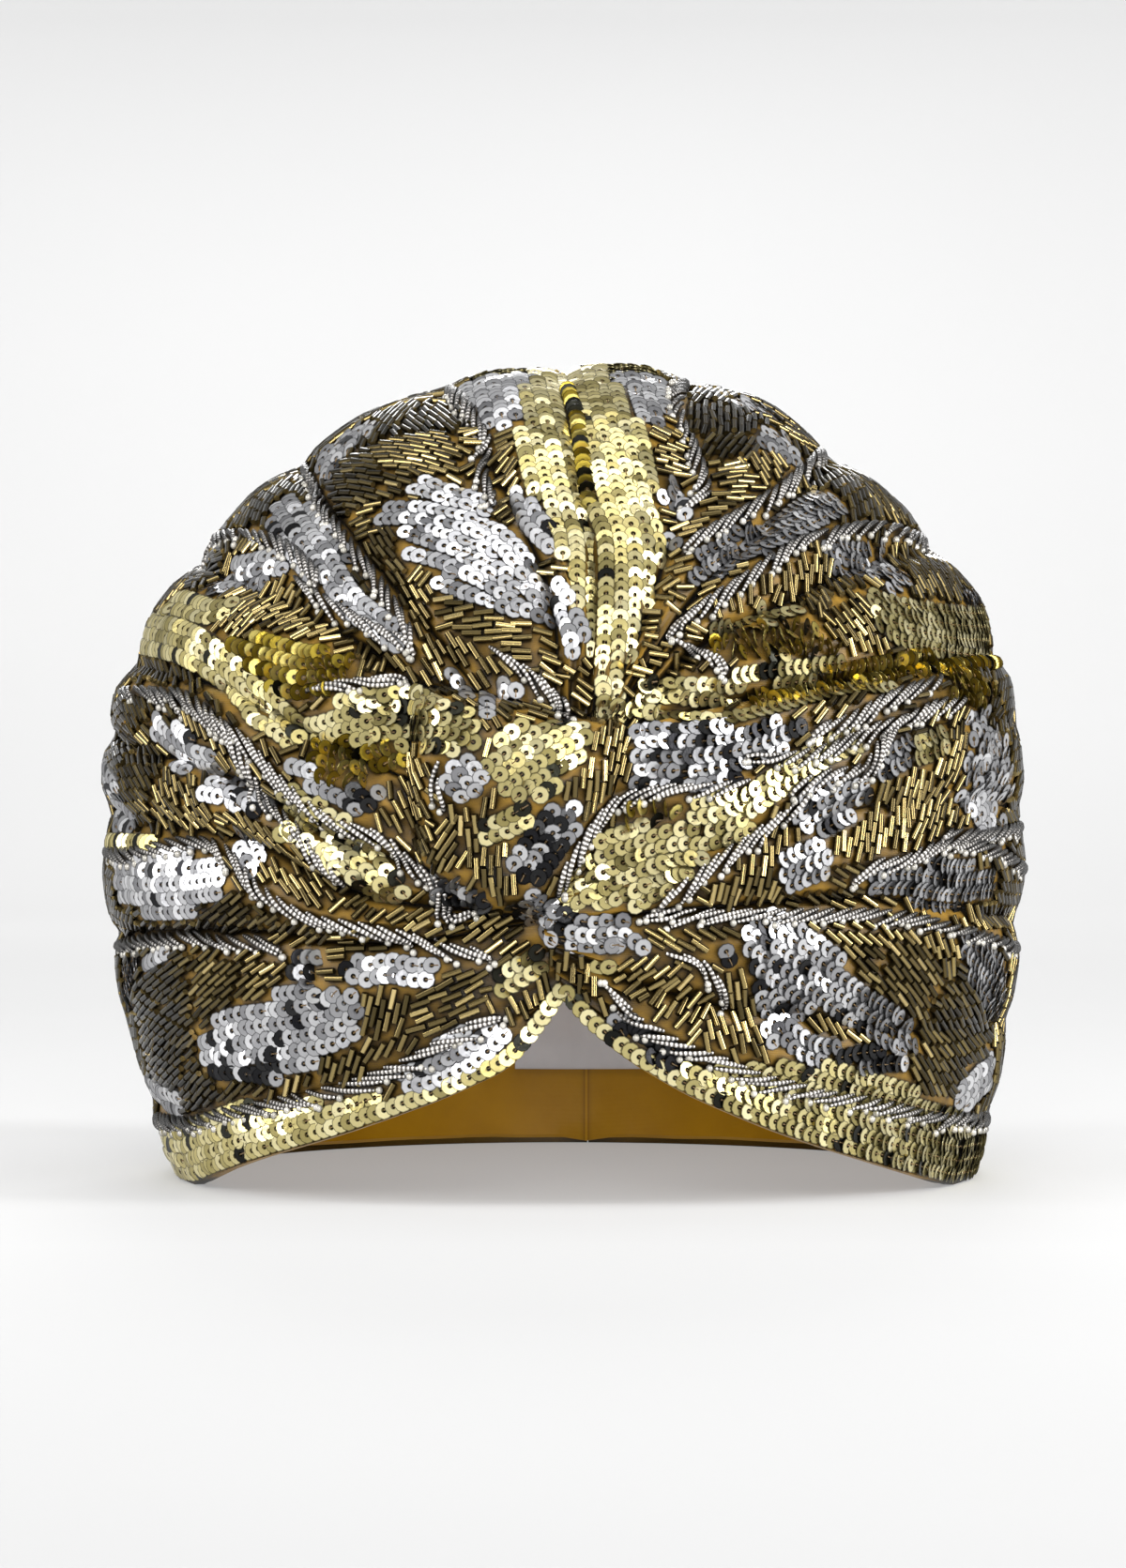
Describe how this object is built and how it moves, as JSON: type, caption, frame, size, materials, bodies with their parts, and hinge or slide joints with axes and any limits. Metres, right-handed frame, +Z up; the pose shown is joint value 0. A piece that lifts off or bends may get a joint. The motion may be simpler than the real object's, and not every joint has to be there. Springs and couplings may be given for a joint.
{
  "type": "turban",
  "caption": "Close-fitting turban of beaded satin with pleated drapes that cross in a raised knot over an arched brow edge, open below, with a smooth satin lining.",
  "frame": {"origin": "middle of the footprint, on the surface that the rim stands on", "axes": "+Z up through the crown, -Y out of the front with the knot, +X to the right as seen from the front"},
  "size_m": [0.206, 0.2172, 0.182],
  "materials": {
    "beaded_satin": "satin under sequins and bugle beads",
    "lining_satin": "satin",
    "label_weave": "woven, matt"
  },
  "bodies": {
    "root": {"crown": "beaded_satin", "left_drape": "beaded_satin", "right_drape": "beaded_satin", "twist_knot": "beaded_satin", "lining": "lining_satin", "label": "label_weave"}
  },
  "joints": []
}
